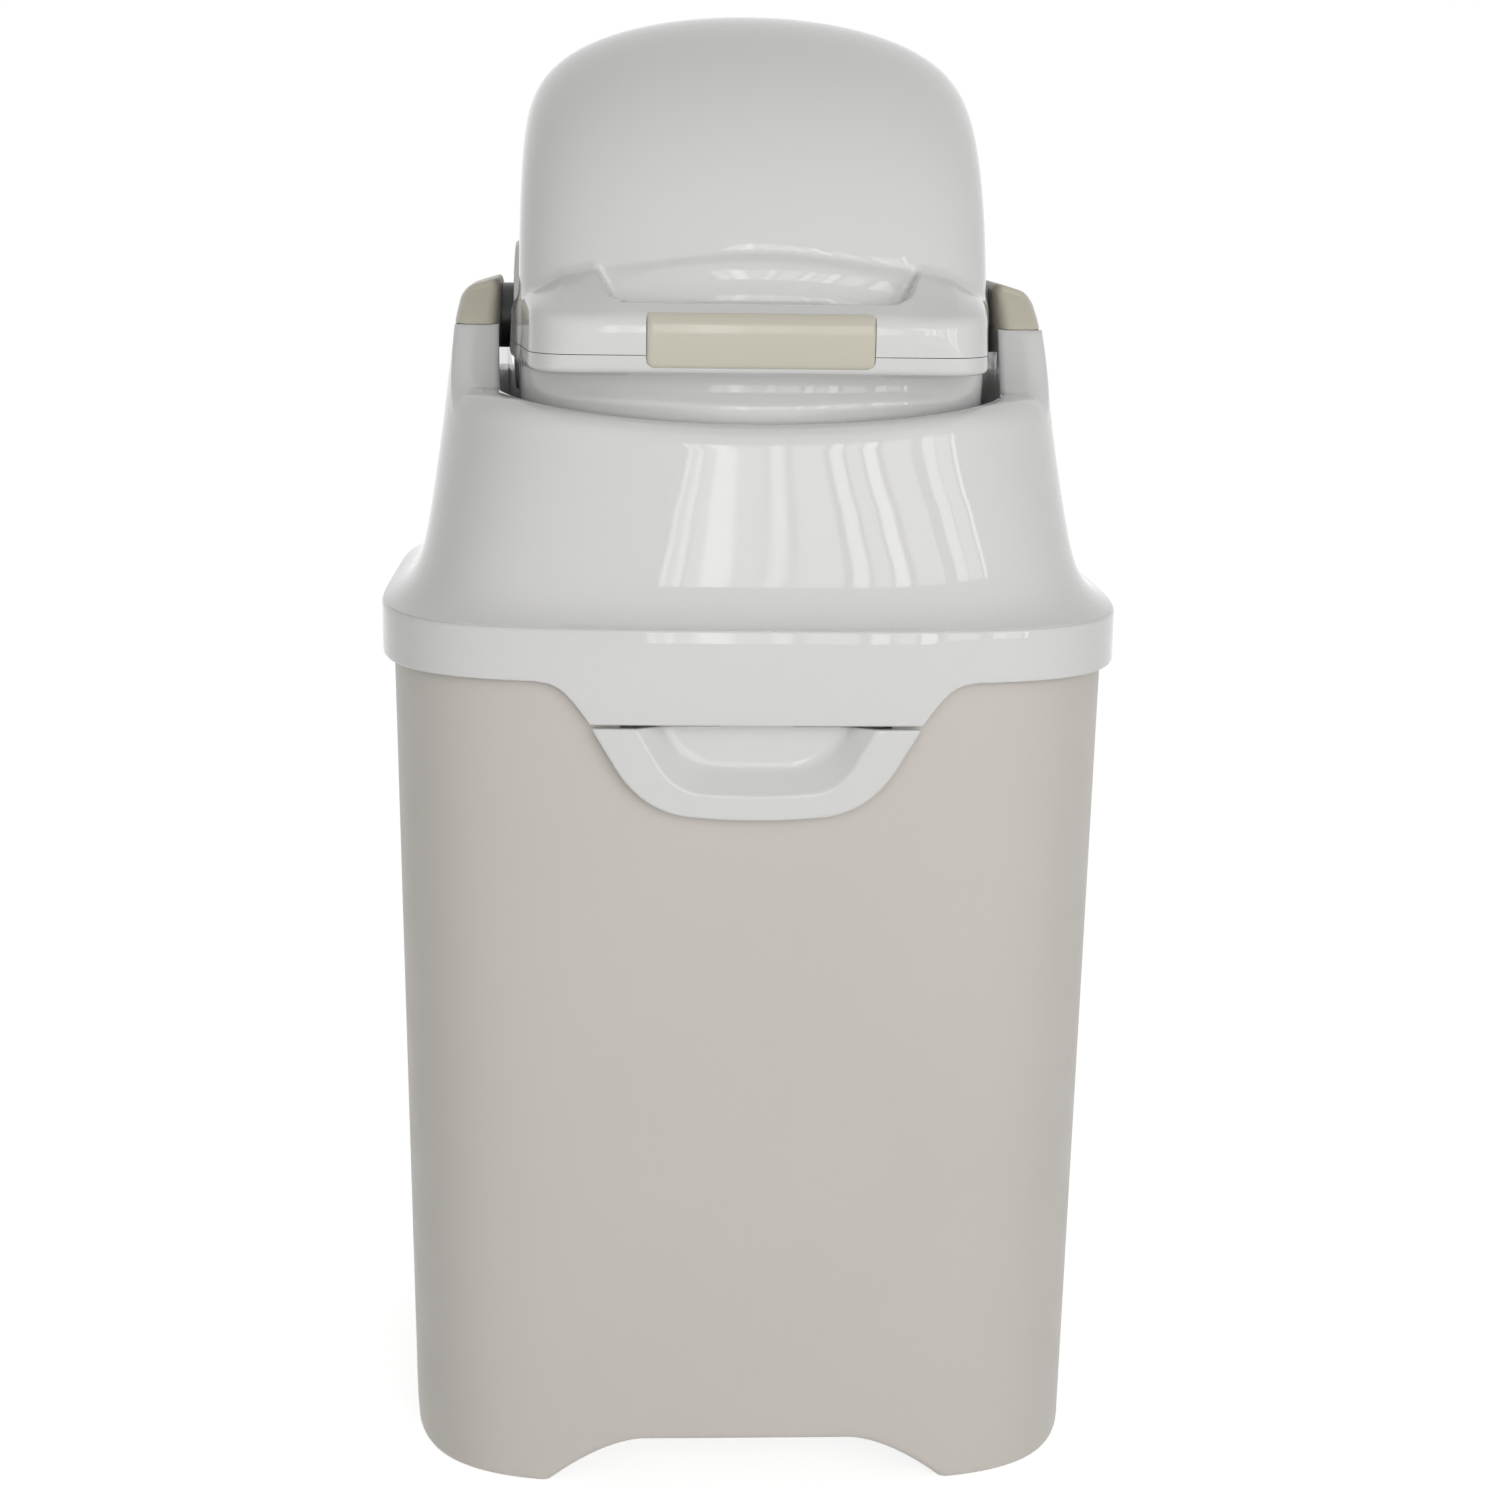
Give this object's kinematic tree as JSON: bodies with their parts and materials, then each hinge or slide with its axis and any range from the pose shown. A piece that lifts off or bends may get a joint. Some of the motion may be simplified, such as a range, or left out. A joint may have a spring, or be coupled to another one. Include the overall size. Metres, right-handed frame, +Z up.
{
  "type": "nappy bin",
  "caption": "Tall square-round nappy bin: a rotary drum with a cup turns by its front handle in a lifting head, over a footed body with a push-tab catch and a rear hinge.",
  "frame": {"origin": "on the floor, at the centre of the part's footprint, straight under the drum's pivot", "axes": "+Z up, -Y towards the user at the front with the handle and the push tab, +X along the drum's pivot to the right of a user who faces the front"},
  "size_m": [0.322, 0.324, 0.631],
  "materials": {
    "body_plastic": "satin warm grey",
    "upper_plastic": "glossy white",
    "cap_plastic": "satin khaki grey",
    "grip_rubber": "soft matt khaki grey",
    "seal_rubber": "matt dark grey",
    "bush_plastic": "plain pale grey",
    "steel": "plain zinc-plated steel"
  },
  "bodies": {
    "bin": {"bin_shell": "body_plastic", "bag_ring": "upper_plastic", "latch_housing": "upper_plastic", "housing_screws": "steel", "latch_pin": "steel", "hinge_bracket": "steel", "hinge_pin": "steel", "bracket_screws": "steel"},
    "release_tab": {"release_tab": "upper_plastic", "latch_spring": "steel"},
    "head": {"head_shell": "upper_plastic", "head_base_ring": "upper_plastic", "rim_gasket": "seal_rubber", "mouth_seal": "seal_rubber", "seal_frame": "upper_plastic", "frame_screws": "steel", "bearing_block_left": "upper_plastic", "bearing_block_right": "upper_plastic", "pivot_bush_left": "bush_plastic", "pivot_bush_right": "bush_plastic", "arm_cap_left": "cap_plastic", "arm_cap_right": "cap_plastic", "cap_screws": "steel", "latch_striker": "upper_plastic", "hinge_leaf": "steel"},
    "drum": {"drum_upper": "upper_plastic", "drum_lower": "upper_plastic", "chamber_cup": "body_plastic", "grip_insert": "grip_rubber", "axle_left": "bush_plastic", "axle_right": "bush_plastic", "axle_clips": "steel", "drum_screws": "steel"}
  },
  "joints": [
    {"name": "head_hinge", "type": "hinge", "parent": "bin", "child": "head", "pos_m": [0, 0.157, 0.352], "axis": [-1, 0, 0], "range_deg": [0, 95]},
    {"name": "drum_turn", "type": "hinge", "parent": "head", "child": "drum", "pos_m": [0, 0, 0.499], "axis": [-1, 0, 0], "range_deg": [0, 180]},
    {"name": "tab_push", "type": "hinge", "parent": "bin", "child": "release_tab", "pos_m": [0, -0.1482, 0.306], "axis": [-1, 0, 0], "range_deg": [0, 3], "stiffness_Nm_per_rad": 2, "springref_deg": -5.73}
  ]
}
